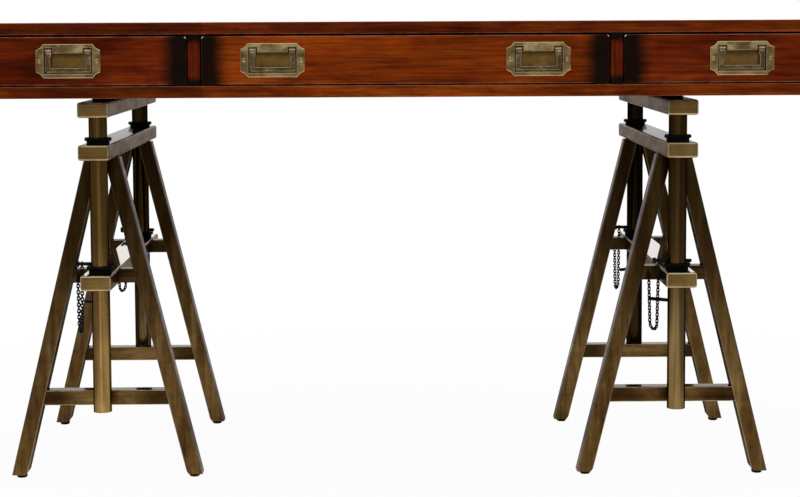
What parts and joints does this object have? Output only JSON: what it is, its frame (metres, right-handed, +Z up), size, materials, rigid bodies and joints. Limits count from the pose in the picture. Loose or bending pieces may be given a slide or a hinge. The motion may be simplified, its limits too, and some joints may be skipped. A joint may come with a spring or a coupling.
{
  "type": "campaign desk",
  "caption": "Campaign style writing desk: a shallow wooden case with flush-handled drawers on height-adjustable metal trestles.",
  "frame": {"origin": "on the floor, under the middle of the desk's overall box", "axes": "+X along the desk to the sitter's right, +Y from the drawer front to the back, +Z up"},
  "size_m": [1.486, 0.6524, 0.76],
  "materials": {
    "mahogany": "satin lacquer, burnished dark at the ends",
    "drawer_wood": "plain, lightly sealed",
    "pull_brass": "antiqued",
    "trestle_brass": "dark antiqued",
    "black_plastic": "matte",
    "black_rubber": "matte",
    "dark_steel": "blackened"
  },
  "bodies": {
    "left_trestle": {"left_head_rail": "trestle_brass", "left_guide_rail": "trestle_brass", "left_legs": "trestle_brass", "left_crossbars": "trestle_brass", "left_stretchers": "trestle_brass", "left_head_bushes": "black_plastic", "left_guide_bushes": "black_plastic", "left_glides": "black_plastic", "left_chain_hooks": "dark_steel", "left_chain_eyes": "dark_steel", "left_chains": "dark_steel"},
    "right_trestle": {"right_head_rail": "trestle_brass", "right_guide_rail": "trestle_brass", "right_legs": "trestle_brass", "right_crossbars": "trestle_brass", "right_stretchers": "trestle_brass", "right_head_bushes": "black_plastic", "right_guide_bushes": "black_plastic", "right_glides": "black_plastic", "right_chain_hooks": "dark_steel", "right_chain_eyes": "dark_steel", "right_chains": "dark_steel"},
    "desk": {"top_board": "mahogany", "bottom_board": "mahogany", "back_panel": "mahogany", "left_end": "mahogany", "right_end": "mahogany", "dividers": "mahogany", "drawer_runners": "drawer_wood", "drawer_stops": "drawer_wood", "rail_pads": "black_rubber", "rail_screws": "dark_steel", "left_top_rail": "trestle_brass", "left_posts": "trestle_brass", "right_top_rail": "trestle_brass", "right_posts": "trestle_brass"},
    "left_drawer": {"left_drawer_front": "mahogany", "left_drawer_box": "drawer_wood", "left_drawer_bottom": "drawer_wood", "left_pull_screws": "pull_brass", "left_pull_plate": "pull_brass"},
    "centre_drawer": {"centre_drawer_front": "mahogany", "centre_drawer_box": "drawer_wood", "centre_drawer_bottom": "drawer_wood", "centre_pull_screws": "pull_brass", "centre_left_pull_plate": "pull_brass", "centre_right_pull_plate": "pull_brass"},
    "right_drawer": {"right_drawer_front": "mahogany", "right_drawer_box": "drawer_wood", "right_drawer_bottom": "drawer_wood", "right_pull_screws": "pull_brass", "right_pull_plate": "pull_brass"},
    "left_bail": {"left_bail": "pull_brass"},
    "centre_left_bail": {"centre_left_bail": "pull_brass"},
    "centre_right_bail": {"centre_right_bail": "pull_brass"},
    "right_bail": {"right_bail": "pull_brass"},
    "left_front_lock_pin": {"left_front_lock_pin": "dark_steel"},
    "left_back_lock_pin": {"left_back_lock_pin": "dark_steel"},
    "right_front_lock_pin": {"right_front_lock_pin": "dark_steel"},
    "right_back_lock_pin": {"right_back_lock_pin": "dark_steel"}
  },
  "joints": [
    {"name": "height", "type": "slide", "parent": "left_trestle", "child": "desk", "axis": [0, 0, 1], "range_m": [0, 0.15], "deforming": ["left_chains"]},
    {"name": "right_height", "type": "slide", "parent": "desk", "child": "right_trestle", "axis": [0, 0, -1], "range_m": [0, 0.15], "deforming": ["right_chains"]},
    {"name": "left_drawer_slide", "type": "slide", "parent": "desk", "child": "left_drawer", "axis": [0, -1, 0], "range_m": [0, 0.36]},
    {"name": "centre_drawer_slide", "type": "slide", "parent": "desk", "child": "centre_drawer", "axis": [0, -1, 0], "range_m": [0, 0.36]},
    {"name": "right_drawer_slide", "type": "slide", "parent": "desk", "child": "right_drawer", "axis": [0, -1, 0], "range_m": [0, 0.36]},
    {"name": "left_bail_swing", "type": "hinge", "parent": "left_drawer", "child": "left_bail", "pos_m": [-0.5345, -0.32025, 0.714], "axis": [-1, 0, 0], "range_deg": [0, 100]},
    {"name": "centre_left_bail_swing", "type": "hinge", "parent": "centre_drawer", "child": "centre_left_bail", "pos_m": [-0.211, -0.32025, 0.714], "axis": [-1, 0, 0], "range_deg": [0, 100]},
    {"name": "centre_right_bail_swing", "type": "hinge", "parent": "centre_drawer", "child": "centre_right_bail", "pos_m": [0.211, -0.32025, 0.714], "axis": [-1, 0, 0], "range_deg": [0, 100]},
    {"name": "right_bail_swing", "type": "hinge", "parent": "right_drawer", "child": "right_bail", "pos_m": [0.5345, -0.32025, 0.714], "axis": [-1, 0, 0], "range_deg": [0, 100]},
    {"name": "left_front_lock_pin_slide", "type": "slide", "parent": "desk", "child": "left_front_lock_pin", "axis": [-1, 0, 0], "range_m": [0, 0.045]},
    {"name": "left_back_lock_pin_slide", "type": "slide", "parent": "desk", "child": "left_back_lock_pin", "axis": [-1, 0, 0], "range_m": [0, 0.045]},
    {"name": "right_front_lock_pin_slide", "type": "slide", "parent": "desk", "child": "right_front_lock_pin", "axis": [-1, 0, 0], "range_m": [0, 0.045]},
    {"name": "right_back_lock_pin_slide", "type": "slide", "parent": "desk", "child": "right_back_lock_pin", "axis": [-1, 0, 0], "range_m": [0, 0.045]}
  ],
  "couplings": [
    {"joint": "right_height", "follows": "height", "ratio": 1}
  ]
}
